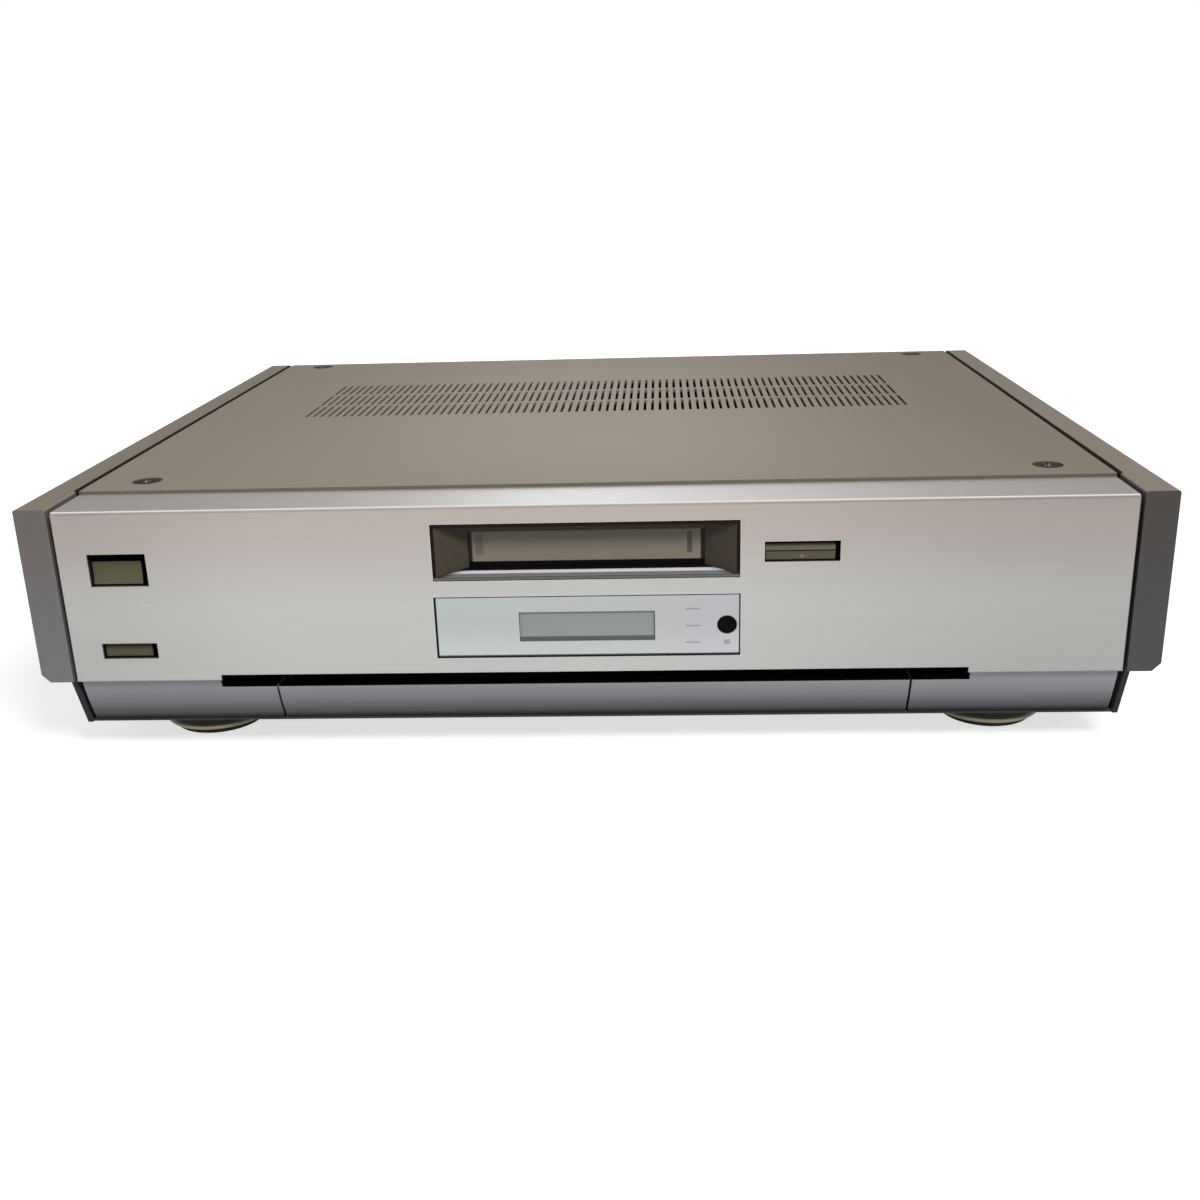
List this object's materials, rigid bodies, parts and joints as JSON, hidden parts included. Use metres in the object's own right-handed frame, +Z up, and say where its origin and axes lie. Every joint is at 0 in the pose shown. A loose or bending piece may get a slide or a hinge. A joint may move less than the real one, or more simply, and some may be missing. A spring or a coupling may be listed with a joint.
{
  "type": "video cassette recorder",
  "caption": "Low wide home video cassette recorder with a brushed fascia, side cheeks, a small cassette door, a display and a pull-out control drawer under a long finger slot.",
  "frame": {"origin": "centre of the bounding box at the height of the surface the deck stands on", "axes": "+X to the right seen from the front, +Y to the back, +Z up"},
  "size_m": [0.47, 0.388, 0.1135],
  "materials": {
    "champagne_plate": "fine satin",
    "silver_fascia": "brushed",
    "bronze_grey_cheek": "satin anodised",
    "blue_grey_chin": "satin",
    "base_steel": "matte",
    "zinc_steel": "plain",
    "black_screw": "black oxide",
    "umber_bezel": "fine grain",
    "smoked_door": "smoked",
    "olive_button": "satin",
    "black_plastic": "matte",
    "ice_panel": "gloss",
    "grey_window": "tinted",
    "display_glass": "dark",
    "black_lens": "gloss",
    "rubber_pad": "matte",
    "gold_ring": "anodised",
    "green_board": "satin",
    "machined_aluminium": "turned",
    "grey_key": "satin",
    "charcoal_tray": "fine grain",
    "roller_rubber": "matte",
    "core_steel": "varnished laminations",
    "black_sink": "black anodised",
    "blue_sleeve": "shrink sleeve",
    "phono_metal": "nickel plated"
  },
  "bodies": {
    "chassis": {"top_plate": "champagne_plate", "fascia": "silver_fascia", "left_cheek": "bronze_grey_cheek", "right_cheek": "bronze_grey_cheek", "chin_ends": "blue_grey_chin", "side_skirts": "blue_grey_chin", "base_pan": "base_steel", "rear_panel": "base_steel", "case_screws": "black_screw", "front_frame": "black_plastic", "finger_slot_liner": "black_plastic", "cassette_bezel": "umber_bezel", "display_panel": "ice_panel", "display_window": "grey_window", "display_module": "display_glass", "infrared_lens": "black_lens", "drawer_bay": "zinc_steel", "drawer_rails": "black_plastic", "mechanism_deck": "zinc_steel", "deck_sides": "zinc_steel", "lower_drum": "machined_aluminium", "capstan_bearing": "phono_metal", "loading_motor": "zinc_steel", "tape_guides": "zinc_steel", "circuit_boards": "green_board", "board_parts": "black_plastic", "transformer_core": "core_steel", "heat_sink": "black_sink", "smoothing_capacitors": "blue_sleeve", "phono_block": "black_plastic", "phono_shells": "phono_metal", "power_inlet": "black_plastic", "foot_drums": "black_plastic", "foot_rings": "gold_ring", "foot_pads": "rubber_pad"},
    "door": {"cassette_door": "smoked_door"},
    "power_button": {"power_button": "olive_button"},
    "timer_button": {"timer_button": "olive_button"},
    "eject_button": {"eject_button": "olive_button"},
    "drawer": {"drawer_front": "blue_grey_chin", "drawer_tray": "charcoal_tray", "drawer_top": "charcoal_tray", "drawer_board": "green_board", "key_switches": "black_plastic"},
    "shuttle_ring": {"shuttle_ring": "black_plastic"},
    "jog_dial": {"jog_dial": "machined_aluminium"},
    "carriage": {"carriage": "zinc_steel"},
    "holder": {"cassette_holder": "zinc_steel"},
    "upper_drum": {"upper_drum": "machined_aluminium"},
    "capstan": {"capstan": "zinc_steel"},
    "pinch_arm": {"pinch_arm": "zinc_steel"},
    "pinch_roller": {"pinch_roller": "roller_rubber"},
    "supply_reel": {"supply_reel_table": "grey_key"},
    "takeup_reel": {"takeup_reel_table": "grey_key"},
    "rewind_key": {"rewind_key": "grey_key"},
    "play_key": {"play_key": "grey_key"},
    "fast_forward_key": {"fast_forward_key": "grey_key"},
    "record_key": {"record_key": "grey_key"},
    "pause_key": {"pause_key": "grey_key"},
    "stop_key": {"stop_key": "grey_key"}
  },
  "joints": [
    {"name": "door_hinge", "type": "hinge", "parent": "chassis", "child": "door", "pos_m": [-0.0003, -0.1835, 0.1052], "axis": [1, 0, 0], "range_deg": [0, 85], "stiffness_Nm_per_rad": 0.002, "springref_deg": -11.46},
    {"name": "power_button_press", "type": "slide", "parent": "chassis", "child": "power_button", "axis": [0, 1, 0], "range_m": [0, 0.0012], "stiffness_N_per_m": 600, "springref_m": -0.0005},
    {"name": "timer_button_press", "type": "slide", "parent": "chassis", "child": "timer_button", "axis": [0, 1, 0], "range_m": [0, 0.0012], "stiffness_N_per_m": 600, "springref_m": -0.0005},
    {"name": "eject_button_press", "type": "slide", "parent": "chassis", "child": "eject_button", "axis": [0, 1, 0], "range_m": [0, 0.0012], "stiffness_N_per_m": 600, "springref_m": -0.0005},
    {"name": "drawer_slide", "type": "slide", "parent": "chassis", "child": "drawer", "axis": [0, -1, 0], "range_m": [0, 0.105]},
    {"name": "rewind_key_press", "type": "slide", "parent": "drawer", "child": "rewind_key", "axis": [0, 0, -1], "range_m": [0, 0.0008], "stiffness_N_per_m": 400, "springref_m": -0.0005},
    {"name": "play_key_press", "type": "slide", "parent": "drawer", "child": "play_key", "axis": [0, 0, -1], "range_m": [0, 0.0008], "stiffness_N_per_m": 400, "springref_m": -0.0005},
    {"name": "fast_forward_key_press", "type": "slide", "parent": "drawer", "child": "fast_forward_key", "axis": [0, 0, -1], "range_m": [0, 0.0008], "stiffness_N_per_m": 400, "springref_m": -0.0005},
    {"name": "record_key_press", "type": "slide", "parent": "drawer", "child": "record_key", "axis": [0, 0, -1], "range_m": [0, 0.0008], "stiffness_N_per_m": 400, "springref_m": -0.0005},
    {"name": "pause_key_press", "type": "slide", "parent": "drawer", "child": "pause_key", "axis": [0, 0, -1], "range_m": [0, 0.0008], "stiffness_N_per_m": 400, "springref_m": -0.0005},
    {"name": "stop_key_press", "type": "slide", "parent": "drawer", "child": "stop_key", "axis": [0, 0, -1], "range_m": [0, 0.0008], "stiffness_N_per_m": 400, "springref_m": -0.0005},
    {"name": "shuttle_turn", "type": "hinge", "parent": "drawer", "child": "shuttle_ring", "pos_m": [0.07, -0.134, 0.0275], "axis": [0, 0, 1], "range_deg": [-70, 70], "stiffness_Nm_per_rad": 0.02},
    {"name": "jog_spin", "type": "hinge", "parent": "drawer", "child": "jog_dial", "pos_m": [0.07, -0.134, 0.0275], "axis": [0, 0, 1], "continuous": true},
    {"name": "carriage_slide", "type": "slide", "parent": "chassis", "child": "carriage", "axis": [0, 1, 0], "range_m": [0, 0.03]},
    {"name": "holder_drop", "type": "slide", "parent": "carriage", "child": "holder", "axis": [0, 0, -1], "range_m": [0, 0.0174]},
    {"name": "drum_spin", "type": "hinge", "parent": "chassis", "child": "upper_drum", "pos_m": [-0.005, -0.0415, 0.0645], "axis": [0.0872, 0, 0.9962], "continuous": true},
    {"name": "capstan_spin", "type": "hinge", "parent": "chassis", "child": "capstan", "pos_m": [0.036, -0.0575, 0.0645], "axis": [0, 0, 1], "continuous": true},
    {"name": "pinch_arm_swing", "type": "hinge", "parent": "chassis", "child": "pinch_arm", "pos_m": [0.0465, -0.0355, 0.0645], "axis": [0, 0, -1], "range_deg": [0, 9]},
    {"name": "pinch_roller_spin", "type": "hinge", "parent": "pinch_arm", "child": "pinch_roller", "pos_m": [0.0465, -0.0575, 0.0645], "axis": [0, 0, 1], "continuous": true},
    {"name": "supply_reel_spin", "type": "hinge", "parent": "chassis", "child": "supply_reel", "pos_m": [-0.0238, -0.09925, 0.0645], "axis": [0, 0, 1], "continuous": true},
    {"name": "takeup_reel_spin", "type": "hinge", "parent": "chassis", "child": "takeup_reel", "pos_m": [0.0232, -0.09925, 0.0645], "axis": [0, 0, 1], "continuous": true}
  ]
}
